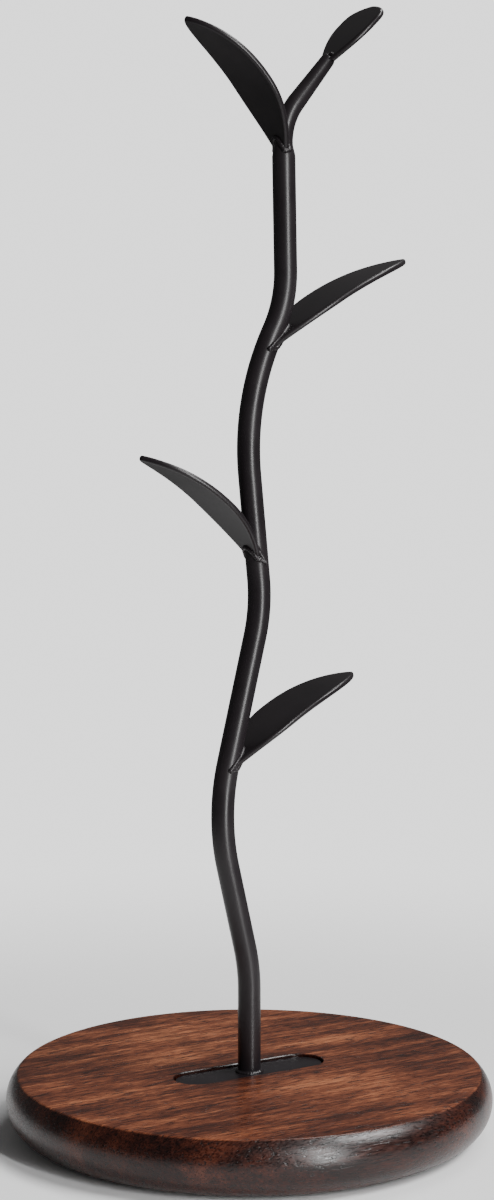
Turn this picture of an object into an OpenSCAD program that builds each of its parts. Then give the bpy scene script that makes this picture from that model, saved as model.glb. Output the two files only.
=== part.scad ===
// Leaf-hook mug tree: a bent steel rod with sheet-steel leaves, welded to a foot plate that is
// let into a round wooden base and screwed to it from below.
// Millimetres, +Z up. The origin is on the surface that the tree stands on, under the centre of
// the base. The rod's bends and every leaf lie in the XZ plane.

/* [Wooden base] */
// Largest diameter of the round base
base_d = 170; // [140:1:220]
// Thickness of the base
base_t = 20; // [17:0.5:30]
// Height of the widest line of the rounded side, above the wood's underside
belly_z = 11; // [9:0.5:12]
// How far the crisp edge of the top face lies inside the widest line
top_inset = 4.2; // [2:0.1:6]
// How far the edge of the underside lies inside the widest line
under_inset = 8; // [4:0.5:9]

/* [Foot plate] */
// Length of the foot plate, along the grain
plate_l = 57.5; // [50:0.5:90]
// Width of the foot plate, which has fully round ends
plate_w = 15; // [12:0.5:24]
// Thickness of the foot plate
plate_t = 3; // [2:0.5:4]
// How far the plate's top sits below the face of the wood
plate_sunk = 0.8; // [0:0.1:1.5]
// Gap between the plate and the wall of its pocket, all round
plate_gap = 0.5; // [0.2:0.1:1.5]

/* [Stem rod] */
// Diameter of the stem rod
stem_d = 8; // [6:0.5:10]
// Straight run up from the foot plate
run_1 = 29; // [15:1:60]
// Radius of the first bend
radius_1 = 68; // [40:1:120]
// Turn of the first bend, positive towards +X
turn_1 = -13.2; // [-25:0.1:0]
// Straight run after the first bend
run_2 = 30; // [10:1:60]
// Radius of the second bend
radius_2 = 77; // [40:1:120]
// Turn of the second bend
turn_2 = 27; // [10:0.5:35]
// Straight run after the second bend
run_3 = 45; // [25:1:70]
// Radius of the third bend
radius_3 = 59; // [40:1:120]
// Turn of the third bend
turn_3 = -19.5; // [-30:0.5:-10]
// Straight run after the third bend
run_4 = 36; // [20:1:60]
// Radius of the fourth bend
radius_4 = 87; // [40:1:120]
// Turn of the fourth bend
turn_4 = 32.5; // [15:0.5:40]
// Straight run after the fourth bend
run_5 = 2; // [1:1:30]
// Radius of the fifth bend
radius_5 = 42; // [30:1:120]
// Turn of the fifth bend
turn_5 = -28; // [-40:0.5:-10]
// Straight run from the fifth bend to the rod's upper end
run_6 = 38; // [30:1:60]

/* [Top twig] */
// Diameter of the thinner twig round its bend
twig_d = 6.4; // [5:0.1:7]
// Diameter of the twig at the crown leaf
twig_tip_d = 5; // [4:0.1:6]
// Length of the cone that brings the stem's diameter down to the twig's
twig_neck = 4.7; // [4:0.1:10]
// Radius of the twig's bend
twig_radius = 21; // [15:0.5:40]
// Turn of the twig's bend
twig_turn = 42; // [20:1:60]
// Straight run from the bend to the crown leaf
twig_run = 19; // [12:0.5:40]

/* [Leaves] */
// Greatest width of a leaf hook
leaf_w = 24; // [16:0.5:30]
// Thickness of every leaf
leaf_t = 2; // [1.5:0.1:3]
// Width of a leaf hook at its root, where it starts on the rod's centre line
leaf_root_w = 4; // [3:0.5:8]
// Edge radius of every leaf
leaf_edge = 0.7; // [0.2:0.1:0.7]
// Crown leaf: length from the twig's end to the tip
crown_l = 27; // [22:1:45]
// Crown leaf: greatest width
crown_w = 22; // [14:0.5:28]
// Crown leaf: width at its root, on the twig's end
crown_root_w = 7; // [5:0.5:10]
// Crown leaf: how steeply it leaves the twig, above the horizontal
crown_rise = 49; // [30:0.5:60]
// Crown leaf: how much it arches over on its way to the tip
crown_droop = 9; // [2:1:30]

/* [Lower right leaf] */
// How far along the rod from the foot its root is
low_right_at = 108.5; // [90:0.5:125]
// Length from root to tip, along the blade
low_right_l = 61; // [50:0.5:80]
// How steeply it leaves the rod, above the horizontal
low_right_rise = 49.5; // [30:0.5:60]
// How much it arches over on its way to the tip
low_right_droop = 38.5; // [10:0.5:60]

/* [Middle left leaf] */
// How far along the rod from the foot its root is
mid_left_at = 181.5; // [165:0.5:200]
// Length from root to tip, along the blade
mid_left_l = 60.5; // [50:0.5:80]
// How steeply it leaves the rod, above the horizontal
mid_left_rise = 61; // [30:0.5:70]
// How much it arches over on its way to the tip
mid_left_droop = 43.5; // [10:0.5:60]

/* [Middle right leaf] */
// How far along the rod from the foot its root is
mid_right_at = 255; // [240:0.5:275]
// Length from root to tip, along the blade
mid_right_l = 66; // [50:0.5:80]
// How steeply it leaves the rod, above the horizontal
mid_right_rise = 44; // [30:0.5:55]
// How much it arches over on its way to the tip
mid_right_droop = 31.5; // [10:0.5:50]

/* [Upper left leaf] */
// How far along the rod from the foot its root is
up_left_at = 322; // [310:0.5:330]
// Length from root to tip, along the blade
up_left_l = 61; // [50:0.5:80]
// How steeply it leaves the rod, above the horizontal
up_left_rise = 75; // [50:0.5:78]
// How much it arches over on its way to the tip
up_left_droop = 51.5; // [10:0.5:70]

/* [Welds] */
// Radius of the weld beads across a leaf hook's root
bead_r = 1.8; // [1.2:0.1:2.5]
// Length of those beads
bead_l = 9; // [6:0.5:12]
// Radius of the weld beads across the crown leaf's root
crown_bead_r = 1.4; // [0.8:0.1:1.8]
// Length of those beads
crown_bead_l = 6; // [4:0.5:8]
// Leg length of the fillet weld round the stem's foot
foot_leg = 1.4; // [1:0.1:3]

/* [Fixings] */
// Distance between the two screws
screw_pitch = 40; // [30:1:44]
// Diameter of the screw thread
screw_d = 5; // [4:0.5:6]
// Diameter of the pan head
head_d = 9.5; // [8:0.5:11]
// Height of the pan head
head_h = 3.6; // [2.5:0.1:3.8]
// Outer diameter of the washer
washer_d = 12; // [11.5:0.5:14]
// Thickness of the washer
washer_t = 1; // [0.8:0.1:1.2]
// Outer diameter of the threaded bosses under the foot plate
boss_d = 9; // [8:0.5:10]
// Height of the bosses
boss_h = 4; // [3:0.5:4.5]
// Depth of the counterbore for the screw head
counterbore = 6.5; // [6:0.5:7.5]

/* [Anti-slip pads] */
// Diameter of a pad
pad_d = 14; // [10:0.5:18]
// Thickness of a pad
pad_t = 2; // [1.5:0.1:3]
// Depth of the recess that holds a pad
pad_recess = 0.8; // [0.4:0.1:1.2]
// Distance of the pads from the centre
pad_ring = 62; // [50:1:64]

/* [Hidden] */
$fn = 64;

powder_black = [0.05, 0.05, 0.055];
walnut = [0.32, 0.17, 0.10];
zinc = [0.62, 0.63, 0.66];
rubber_black = [0.09, 0.09, 0.09];

bend_swell = 0.03;  // radial, by which a bend is thicker than the straight rod
bend_lap = 0.3;     // how far a straight runs into the bend next to it
thread_gap = 0.05;  // radial, between the plain cylinders that stand for a thread
bore_gap = 0.25;    // radial, between the screw and its holes through the wood and the washer
head_gap = 0.5;     // radial, between the washer and the wall of the counterbore
boss_gap = 0.6;     // round and under a boss in its pocket
tip_gap = 0.7;      // between a screw's end and the foot plate
pad_gap = 0.2;      // radial, between a pad and its recess
over = 0.01;        // how far a cut runs past the face that it opens

wood_z = pad_t - pad_recess;               // underside of the wood
top_z = wood_z + base_t;                   // top face of the wood
plate_top = top_z - plate_sunk;
plate_bottom = plate_top - plate_t;
boss_floor = plate_bottom - boss_h - boss_gap;
seat_z = wood_z + counterbore;             // ceiling of the counterbore, where the washer bears
under_head = seat_z - washer_t;
screw_l = plate_bottom - tip_gap - under_head;

stem_steps = [
    [run_1, radius_1, turn_1],
    [run_2, radius_2, turn_2],
    [run_3, radius_3, turn_3],
    [run_4, radius_4, turn_4],
    [run_5, radius_5, turn_5],
    [run_6, 0, 0]
];
twig_steps = [
    [twig_neck, twig_radius, twig_turn],
    [twig_run, 0, 0]
];

// ---- a bent rod, as a list of [straight run, bend radius, turn], starting upwards ----

// Where a rod is after a length s, as [x, z, heading], the heading being measured from +Z to +X.
function rod_at(steps, s, from, i = 0) =
    let(
        run = steps[i][0],
        radius = steps[i][1],
        turn = steps[i][2],
        straight = min(s, run),
        x = from[0] + straight * sin(from[2]),
        z = from[1] + straight * cos(from[2]),
        arc = radius * abs(turn) * PI / 180,
        part = arc > 0 ? min(max(s - run, 0), arc) / arc * turn : 0,
        end = bend_end([x, z, from[2]], radius, part)
    )
    s <= run + arc || i == len(steps) - 1 ? end : rod_at(steps, s - run - arc, end, i + 1);

function bend_end(p, radius, turn) =
    let(side = sign(turn))
    [
        p[0] + side * radius * (cos(p[2]) - cos(p[2] + turn)),
        p[1] - side * radius * (sin(p[2]) - sin(p[2] + turn)),
        p[2] + turn
    ];

function rod_length(steps) =
    [for (step = steps) step[0] + step[1] * abs(step[2]) * PI / 180] * [for (step = steps) 1];

// Draws the rod, each step in the frame that the step before it ends in. A bend swells the rod by
// a hair, so the straight before it and the straight after it both run a little way into it.
module bent_rod(steps, d, i = 0, lead = 0) {
    if (i < len(steps)) {
        run = steps[i][0];
        tail = steps[i][2] == 0 ? 0 : bend_lap;
        translate([0, 0, -lead])
            cylinder(h = lead + run + tail, d = d - 2 * bend_swell);
        translate([0, 0, run]) {
            elbow(steps[i][1], steps[i][2], d);
            after_elbow(steps[i][1], steps[i][2])
                bent_rod(steps, d, i + 1, bend_lap);
        }
    }
}

module elbow(radius, turn, d) {
    if (turn != 0)
        mirror([turn < 0 ? 1 : 0, 0, 0])
            translate([radius, 0, 0])
                rotate([90, 0, 180])
                    rotate_extrude(angle = abs(turn))
                        translate([radius, 0])
                            circle(d = d);
}

module after_elbow(radius, turn) {
    centre = sign(turn) * radius;
    translate([centre, 0, 0])
        rotate([0, turn, 0])
            translate([-centre, 0, 0])
                children();
}

// ---- stem and twig ----

stem_foot = [0, plate_top, 0];
stem_l = rod_length(stem_steps);
stem_end = rod_at(stem_steps, stem_l, stem_foot);
twig_end = rod_at(twig_steps, rod_length(twig_steps), stem_end);
rod_steps = concat(stem_steps, twig_steps);

module stem_solid() {
    translate([0, 0, plate_top])
        bent_rod(stem_steps, stem_d);
}

// The neck, the bend, and the run that tapers to a round tip.
module twig_solid() {
    thin = 2 * bend_swell;
    translate([stem_end[0], 0, stem_end[1]])
        rotate([0, stem_end[2], 0]) {
            cylinder(h = twig_neck, d1 = stem_d - thin, d2 = twig_d - thin);
            cylinder(h = twig_neck + bend_lap, d = twig_d - thin);
            translate([0, 0, twig_neck]) {
                elbow(twig_radius, twig_turn, twig_d);
                after_elbow(twig_radius, twig_turn) {
                    translate([0, 0, -bend_lap]) cylinder(h = 2 * bend_lap, d = twig_d - 2 * thin);
                    cylinder(h = twig_run, d1 = twig_d - thin, d2 = twig_tip_d);
                    translate([0, 0, twig_run]) sphere(d = twig_tip_d);
                }
            }
        }
}

module stem() {
    color(powder_black) stem_solid();
}

module top_twig() {
    color(powder_black) twig_solid();
}

// ---- leaves ----

leaf_rings = 36;            // sections from root to tip
tip_end = 0.999;            // the last section stops just short of the point, so it keeps a face
hook_form = [0.45, 2.7];    // where along its length a leaf is widest, and how full its tip is
crown_form = [0.62, 4];
tip_point = 1.35;           // how blunt the very point is
edge_share = 0.6;           // the most of a blade's half width that its edge radius may take

// Half width at a share u of the length: a quarter sine out from the root, then a blunt point.
function half_width(u, widest, root, form) =
    u < form[0]
        ? (root + (widest - root) * sin(90 * u / form[0])) / 2
        : widest / 2 * pow(1 - pow((u - form[0]) / (1 - form[0]), form[1]), 1 / tip_point);

// The blade's section, with its four long edges rounded, as [across, through] pairs.
function section(half) =
    let(e = min(leaf_edge, half * edge_share))
    [
        for (corner = [0 : 3])
            for (step = [0 : 3])
                let(a = 90 * corner + 30 * step)
                [
                    (corner == 0 || corner == 3 ? 1 : -1) * (half - e) + e * cos(a),
                    (corner < 2 ? 1 : -1) * (leaf_t / 2 - e) + e * sin(a)
                ]
    ];

// A point on the arched centre line of a blade, at a share u of its length, as [x, z, slope].
function on_arch(u, length, rise, droop) =
    let(bend_r = length / (droop * PI / 180), slope = rise - droop * u)
    [bend_r * (sin(rise) - sin(slope)), bend_r * (cos(slope) - cos(rise)), slope];

// The blade in its own frame: it starts at the origin and heads towards +X.
module blade(length, rise, droop, widest, root, form) {
    rings = [
        for (k = [0 : leaf_rings])
            let(
                u = tip_end * sin(90 * k / leaf_rings),
                p = on_arch(u, length, rise, droop)
            )
            [
                for (q = section(half_width(u, widest, root, form)))
                    [p[0] - q[1] * sin(p[2]), q[0], p[1] + q[1] * cos(p[2])]
            ]
    ];
    n = len(rings[0]);
    polyhedron(
        points = [for (ring = rings) each ring],
        faces = [
            [for (j = [0 : n - 1]) j],
            for (k = [0 : leaf_rings - 1])
                for (j = [0 : n - 1])
                    [k * n + j, (k + 1) * n + j, (k + 1) * n + (j + 1) % n, k * n + (j + 1) % n],
            [for (j = [n - 1 : -1 : 0]) leaf_rings * n + j]
        ]
    );
}

// One row for each leaf hook: side, place along the rod, length, rise, droop.
low_right = [1, low_right_at, low_right_l, low_right_rise, low_right_droop];
mid_left = [-1, mid_left_at, mid_left_l, mid_left_rise, mid_left_droop];
mid_right = [1, mid_right_at, mid_right_l, mid_right_rise, mid_right_droop];
up_left = [-1, up_left_at, up_left_l, up_left_rise, up_left_droop];

module at_root(hook) {
    p = rod_at(rod_steps, hook[1], stem_foot);
    translate([p[0], 0, p[1]])
        mirror([hook[0] < 0 ? 1 : 0, 0, 0])
            children();
}

module hook_blade(hook) {
    at_root(hook)
        blade(hook[2], hook[3], hook[4], leaf_w, leaf_root_w, hook_form);
}

// The blade, cut to fit round the stem, and round any other part of the rod that is given.
module leaf(hook) {
    color(powder_black)
        difference() {
            hook_blade(hook);
            stem_solid();
            children();
        }
}

module crown_blade() {
    translate([twig_end[0], 0, twig_end[1]])
        blade(crown_l, crown_rise, crown_droop, crown_w, crown_root_w, crown_form);
}

module leaf_crown() {
    color(powder_black)
        difference() {
            crown_blade();
            twig_solid();
        }
}

// ---- welds ----

// A bead across the rod, along Y, with its ends bevelled.
module bead(r, length) {
    bevel = r / 2;
    rotate([90, 0, 0])
        rotate_extrude()
            polygon([
                [0, -length / 2], [r - bevel, -length / 2], [r, bevel - length / 2],
                [r, length / 2 - bevel], [r - bevel, length / 2], [0, length / 2]
            ]);
}

search_step = 0.25;         // spacing of the places along the rod that a search tries
search_run = 24;            // how far up the rod from a root it goes
halvings = 12;

function rod_radius(s) =
    (stem_d + (twig_d - stem_d) * min(max((s - stem_l) / twig_neck, 0), 1)) / 2;

// The place on the rod nearest to a point [x, z], as [clearance from its surface, heading].
function nearest_place(p, at) =
    let(
        places = [
            for (s = [at : search_step : at + search_run])
                let(q = rod_at(rod_steps, s, stem_foot))
                [norm([q[0] - p[0], q[1] - p[1]]) - rod_radius(s), q[2]]
        ],
        least = min([for (place = places) place[0]])
    )
    [for (place = places) if (place[0] == least) place][0];

function place_by_blade(hook, u) =
    let(root = rod_at(rod_steps, hook[1], stem_foot), p = on_arch(u, hook[2], hook[3], hook[4]))
    nearest_place([root[0] + hook[0] * p[0], root[1] + p[1]], hook[1]);

// The share of the blade's length at which its centre line comes out through the rod's surface,
// found by halving within its lower half.
function exit_share(hook, low = 0, high = 0.5, tries = halvings) =
    let(mid = (low + high) / 2, inside = place_by_blade(hook, mid)[0] < 0)
    tries == 0 ? mid : exit_share(hook, inside ? mid : low, inside ? high : mid, tries - 1);

// A bead on each face of the blade, in the crook where that face meets the rod.
module crook_beads(hook) {
    u = exit_share(hook);
    p = on_arch(u, hook[2], hook[3], hook[4]);
    open = 90 - hook[0] * place_by_blade(hook, u)[1] - p[2];
    for (face = [-1, 1])
        let(
            along = face * leaf_t / 2 / tan(open),
            through = face * leaf_t / 2
        )
        translate([
            p[0] + along * cos(p[2]) - through * sin(p[2]),
            0,
            p[1] + along * sin(p[2]) + through * cos(p[2])
        ])
            bead(bead_r, bead_l);
}

module leaf_weld(hook) {
    color(powder_black)
        difference() {
            at_root(hook) crook_beads(hook);
            stem_solid();
            hook_blade(hook);
            children();
        }
}

module weld_crown() {
    p = on_arch(twig_tip_d / 2 / crown_l, crown_l, crown_rise, crown_droop);
    color(powder_black)
        difference() {
            for (face = [-1, 1])
                translate([
                    twig_end[0] + p[0] - face * leaf_t / 2 * sin(p[2]),
                    0,
                    twig_end[1] + p[1] + face * leaf_t / 2 * cos(p[2])
                ])
                    bead(crown_bead_r, crown_bead_l);
            twig_solid();
            crown_blade();
        }
}

module weld_foot() {
    color(powder_black)
        translate([0, 0, plate_top])
            rotate_extrude()
                difference() {
                    translate([stem_d / 2, 0]) square(foot_leg);
                    translate([stem_d / 2 + foot_leg, foot_leg]) circle(r = foot_leg);
                }
}

// ---- foot plate, wood and fixings ----

module stadium(l, w, h) {
    for (side = [-1, 1])
        translate([side * (l - w) / 2, 0, 0]) cylinder(h = h, d = w);
    translate([-(l - w) / 2, -w / 2, 0]) cube([l - w, w, h]);
}

module foot_plate() {
    color(powder_black)
        translate([0, 0, plate_bottom]) stadium(plate_l, plate_w, plate_t);
}

module each_screw() {
    for (side = [-1, 1])
        translate([side * screw_pitch / 2, 0, 0]) children();
}

// Where pad k of four is, counting round from the back right.
module at_pad(k) {
    rotate([0, 0, 90 * k + 45]) translate([pad_ring, 0, 0]) children();
}

// Radius of the arc that leaves the widest line upright and reaches in by inset over a height.
function side_radius(inset, height) = (inset * inset + height * height) / (2 * inset);

// One half of the turned side: the block inside, and the arc from the widest line to the face.
module side_band(inset, low, high) {
    height = high - low;
    r = side_radius(inset, height);
    square([base_d / 2 - inset, height]);
    intersection() {
        translate([base_d / 2 - r, 0]) circle(r = r, $fn = 128);
        translate([base_d / 2 - inset - over, 0]) square([inset + 2 * over, height]);
    }
}

module wood_blank() {
    translate([0, 0, wood_z + belly_z]) {
        rotate_extrude($fn = 128) side_band(top_inset, belly_z, base_t);
        mirror([0, 0, 1])
            rotate_extrude($fn = 128) side_band(under_inset, 0, belly_z);
    }
}

module wood_base() {
    color(walnut)
        difference() {
            wood_blank();
            translate([0, 0, plate_bottom])
                stadium(plate_l + 2 * plate_gap, plate_w + 2 * plate_gap, plate_t + plate_sunk + over);
            each_screw() {
                translate([0, 0, boss_floor])
                    cylinder(h = plate_bottom - boss_floor + over, d = boss_d + 2 * boss_gap);
                translate([0, 0, wood_z - over])
                    cylinder(h = base_t, d = screw_d + 2 * bore_gap);
                translate([0, 0, wood_z - over])
                    cylinder(h = counterbore + over, d = washer_d + 2 * head_gap);
            }
            for (k = [0 : 3])
                at_pad(k)
                    translate([0, 0, wood_z - over])
                        cylinder(h = pad_recess + over, d = pad_d + 2 * pad_gap);
        }
}

module ring(outer_d, inner_d, h) {
    difference() {
        cylinder(h = h, d = outer_d);
        translate([0, 0, -over]) cylinder(h = h + 2 * over, d = inner_d);
    }
}

module threaded_bosses() {
    color(powder_black)
        each_screw()
            translate([0, 0, plate_bottom - boss_h]) ring(boss_d, screw_d + 2 * thread_gap, boss_h);
}

module washers() {
    color(zinc)
        each_screw()
            translate([0, 0, under_head]) ring(washer_d, screw_d + 2 * bore_gap, washer_t);
}

recess_w = 1.3;      // cross recess in the screw head: width of its slots, their length and depth
recess_l = 5.4;
recess_h = 2.2;
head_dome_r = 6.25;  // radius of the pan head's domed side

// Two pan-head screws with a cross recess, heads down.
module screws() {
    color(zinc)
        each_screw()
            translate([0, 0, under_head]) {
                cylinder(h = screw_l, d = screw_d);
                difference() {
                    translate([0, 0, -head_h])
                        rotate_extrude()
                            intersection() {
                                square([head_d / 2, head_h]);
                                translate([0, head_dome_r]) circle(r = head_dome_r);
                            }
                    for (turn = [0, 90])
                        rotate([0, 0, turn])
                            translate([-recess_l / 2, -recess_w / 2, -head_h - over])
                                cube([recess_l, recess_w, recess_h + over]);
                }
            }
}

module pad(k) {
    color(rubber_black)
        at_pad(k) cylinder(h = pad_t, d = pad_d);
}

wood_base();
foot_plate();
stem();
top_twig();
leaf(low_right);  // leaf_lower_right
leaf(mid_left);  // leaf_middle_left
leaf(mid_right);  // leaf_middle_right
leaf(up_left) twig_solid();  // leaf_upper_left
leaf_crown();
weld_foot();
leaf_weld(low_right);  // weld_lower_right
leaf_weld(mid_left);  // weld_middle_left
leaf_weld(mid_right);  // weld_middle_right
leaf_weld(up_left) twig_solid();  // weld_upper_left
weld_crown();
threaded_bosses();
screws();
washers();
pad(0);  // pad_back_right
pad(1);  // pad_back_left
pad(2);  // pad_front_left
pad(3);  // pad_front_right
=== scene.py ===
# %% [markdown]
# # A leaf-hook mug tree
# The real object is a bent steel rod with sheet-steel leaves welded to it, all powder coated
# near black, standing on a turned disc of dark wood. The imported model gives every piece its
# size and its place. This lesson remakes the pieces that the eye lands on with finer surfaces,
# and gives every piece a procedural finish.
#
# Everything is in metres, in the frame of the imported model: X runs in the plane of the rod's
# bends, Y runs across it, and Z is up.

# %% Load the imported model
import math

import bmesh
import bpy
import numpy as np
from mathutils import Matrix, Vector


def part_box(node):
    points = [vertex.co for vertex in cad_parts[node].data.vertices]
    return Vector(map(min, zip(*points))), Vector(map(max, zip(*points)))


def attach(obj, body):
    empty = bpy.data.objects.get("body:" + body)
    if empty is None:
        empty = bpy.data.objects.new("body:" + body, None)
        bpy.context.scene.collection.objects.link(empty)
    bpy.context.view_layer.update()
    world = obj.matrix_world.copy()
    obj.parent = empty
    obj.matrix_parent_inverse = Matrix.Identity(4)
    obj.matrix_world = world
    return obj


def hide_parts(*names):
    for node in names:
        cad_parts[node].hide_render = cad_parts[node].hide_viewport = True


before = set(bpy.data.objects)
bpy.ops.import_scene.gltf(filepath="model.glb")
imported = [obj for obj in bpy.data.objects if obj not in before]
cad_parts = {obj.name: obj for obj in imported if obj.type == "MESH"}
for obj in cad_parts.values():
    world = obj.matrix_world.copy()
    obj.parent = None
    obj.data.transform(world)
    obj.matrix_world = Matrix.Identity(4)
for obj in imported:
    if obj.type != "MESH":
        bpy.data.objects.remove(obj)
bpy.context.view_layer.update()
MM = 0.001

# %% [markdown]
# ## The camera
# A long lens from a little under a metre away, slightly above the object, gives a gentle
# perspective. The camera is made first, because everything else is judged through it. Aiming
# it with a track quaternion keeps its horizon level.

# %% Camera
CAMERA_DISTANCE = 920 * MM
CAMERA_HEIGHT = 286.7 * MM
CAMERA_TURN = math.radians(-31)
LENS_MM = 80.8
AIM = Vector((-0.7, 0.4, 186.4)) * MM

camera_data = bpy.data.cameras.new("camera")
camera_data.lens = LENS_MM
camera = bpy.data.objects.new("camera", camera_data)
camera.location = (
    CAMERA_DISTANCE * math.sin(CAMERA_TURN),
    -CAMERA_DISTANCE * math.cos(CAMERA_TURN),
    CAMERA_HEIGHT,
)
camera.rotation_mode = "QUATERNION"
camera.rotation_quaternion = (AIM - camera.location).to_track_quat("-Z", "Y")
bpy.context.scene.collection.objects.link(camera)
bpy.context.scene.camera = camera
print("camera at", tuple(round(v, 3) for v in camera.location))

# %% [markdown]
# ## Helpers for node trees
# Materials and Geometry Nodes are both graphs. One small helper adds a node, sets its options
# and either links or fills in each of its inputs, so a graph reads as a list of what it does.


# %% Node helper
def add(tree, kind, inputs=None, **options):
    """Adds a node; a value in inputs that is a socket is linked, anything else is filled in."""
    made = tree.nodes.new(kind)
    for name, value in options.items():
        setattr(made, name, value)
    for key, value in (inputs or {}).items():
        if isinstance(value, bpy.types.NodeSocket):
            tree.links.new(value, made.inputs[key])
        else:
            made.inputs[key].default_value = value
    return made


def new_material(name):
    """A material with only its Principled shader and output: returns material, tree, shader."""
    material = bpy.data.materials.new(name)
    material.use_nodes = True
    tree = material.node_tree
    return material, tree, tree.nodes["Principled BSDF"]


def ramp(tree, factor, stops):
    """A colour ramp from (position, colour) stops."""
    made = add(tree, "ShaderNodeValToRGB", {"Fac": factor})
    elements = made.color_ramp.elements
    while len(elements) < len(stops):
        elements.new(0.5)
    for element, (position, colour) in zip(elements, stops):
        element.position = position
        element.color = (*colour, 1.0)
    return made.outputs["Color"]


def noise(tree, where, scale, detail=4.0, roughness=0.5):
    """A noise texture's value at a position."""
    settings = {"Vector": where, "Scale": scale, "Detail": detail, "Roughness": roughness}
    return add(tree, "ShaderNodeTexNoise", settings).outputs["Fac"]


def stretched(tree, where, scale, location=(0, 0, 0)):
    """Object coordinates, moved and scaled by axis."""
    settings = {"Vector": where, "Scale": scale, "Location": location}
    return add(tree, "ShaderNodeMapping", settings).outputs["Vector"]


print("node helpers ready")

# %% [markdown]
# ## Dark oiled wood
# The base is a dark, reddish hardwood with its grain along X. Real wood is a solid: the same
# growth layers show as streaks on the face and as arcs on the side, so the pattern is worked out
# in three dimensions from Object coordinates. Noise that is stretched along X makes patches,
# streaks and fibres, from wide to fine, and their sum picks a colour from a ramp. Short dark
# pores are laid over them. The turned side cuts across the fibres, and end grain drinks more
# stain and turns darker, so the surface's direction darkens the colour. That darkening is partly
# that stain and mostly painted shade, which keeps the side and the underside as dark as a light
# from above leaves them. The fibres take the finish unevenly, so they move the gloss as well, and
# both fibres and pores give the surface its relief, with the pores sunk into it.

# %% Wood material
WOOD_DARK = (0.018, 0.0060, 0.0042)
WOOD_RED = (0.066, 0.0170, 0.0081)
WOOD_BROWN = (0.160, 0.0460, 0.0200)
WOOD_LIGHT = (0.390, 0.1430, 0.0640)
# Multiplied into faces that turn away from straight up: a little end-grain stain, mostly painted
# shade.
SIDE_STAIN_AND_SHADE = (0.18, 0.128, 0.134)


def grain(tree, where, along_mm, across_mm, detail, roughness, shift=0.0):
    """Noise whose features are so long along the grain and so wide across it."""
    size = (1000 / along_mm, 1000 / across_mm, 1000 / across_mm)
    return noise(tree, stretched(tree, where, size, (shift, 0, 0)), 1.0, detail, roughness)


def make_wood():
    material, tree, shader = new_material("dark_oiled_wood")
    coordinates = add(tree, "ShaderNodeTexCoord")
    place = coordinates.outputs["Object"]

    patches = grain(tree, place, 64, 15, 3.0, 0.5)
    streaks = grain(tree, place, 30, 2.2, 6.0, 0.66, 3.1)
    fibres = grain(tree, place, 4.5, 0.5, 3.0, 0.6, 7.7)
    tone = add(tree, "ShaderNodeMath", {0: patches, 1: 0.42}, operation="MULTIPLY")
    for layer, share in ((streaks, 0.32), (fibres, 0.34)):
        sums = {0: layer, 1: share, 2: tone.outputs["Value"]}
        tone = add(tree, "ShaderNodeMath", sums, operation="MULTIPLY_ADD")
    colour = ramp(
        tree, tone.outputs["Value"],
        [(0.43, WOOD_DARK), (0.50, WOOD_RED), (0.57, WOOD_BROWN), (0.67, WOOD_LIGHT)],
    )

    pore_field = grain(tree, place, 6, 0.8, 2.0, 0.5, 1.3)
    pores = add(
        tree, "ShaderNodeMapRange",
        {"Value": pore_field, "From Min": 0.58, "From Max": 0.68},
        interpolation_type="SMOOTHSTEP",
    ).outputs["Result"]
    pored = add(tree, "ShaderNodeMix", {"Factor": pores, "B": (*WOOD_DARK, 1.0)}, data_type="RGBA")
    tree.links.new(colour, pored.inputs[6])

    facing = add(tree, "ShaderNodeSeparateXYZ", {"Vector": coordinates.outputs["Normal"]})
    # Painted shade with some real end-grain stain: the side and the underside darken by how far
    # they turn from straight up.
    stain_and_shade = ramp(tree, facing.outputs["Z"], [(0.72, SIDE_STAIN_AND_SHADE), (0.94, (1.0, 1.0, 1.0))])
    stained_and_shaded = add(tree, "ShaderNodeMix", {"Factor": 1.0}, data_type="RGBA", blend_type="MULTIPLY")
    tree.links.new(pored.outputs[2], stained_and_shaded.inputs[6])
    tree.links.new(stain_and_shade, stained_and_shaded.inputs[7])
    tree.links.new(stained_and_shaded.outputs[2], shader.inputs["Base Color"])

    gloss = add(
        tree, "ShaderNodeMapRange",
        {"Value": fibres, "From Min": 0.3, "From Max": 0.7, "To Min": 0.22, "To Max": 0.40},
    ).outputs["Result"]
    tree.links.new(gloss, shader.inputs["Roughness"])
    sums = {0: pores, 1: -1.0, 2: fibres}
    depth = add(tree, "ShaderNodeMath", sums, operation="MULTIPLY_ADD").outputs["Value"]
    bump = add(tree, "ShaderNodeBump", {"Height": depth, "Strength": 0.45, "Distance": 0.10 * MM})
    tree.links.new(bump.outputs["Normal"], shader.inputs["Normal"])
    shader.inputs["Specular IOR Level"].default_value = 0.42
    return material


wood = make_wood()
print("made", wood.name, "with", len(wood.node_tree.nodes), "nodes")

# %% [markdown]
# ## Powder coat
# The steel is powder coated near black. Powder melts into a skin that is satin, never quite
# flat, and has a fine orange-peel ripple with a still finer grit on it. Two layers of noise
# drive the bump, a slow one moves the roughness, and the colour is left almost even.


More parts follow.
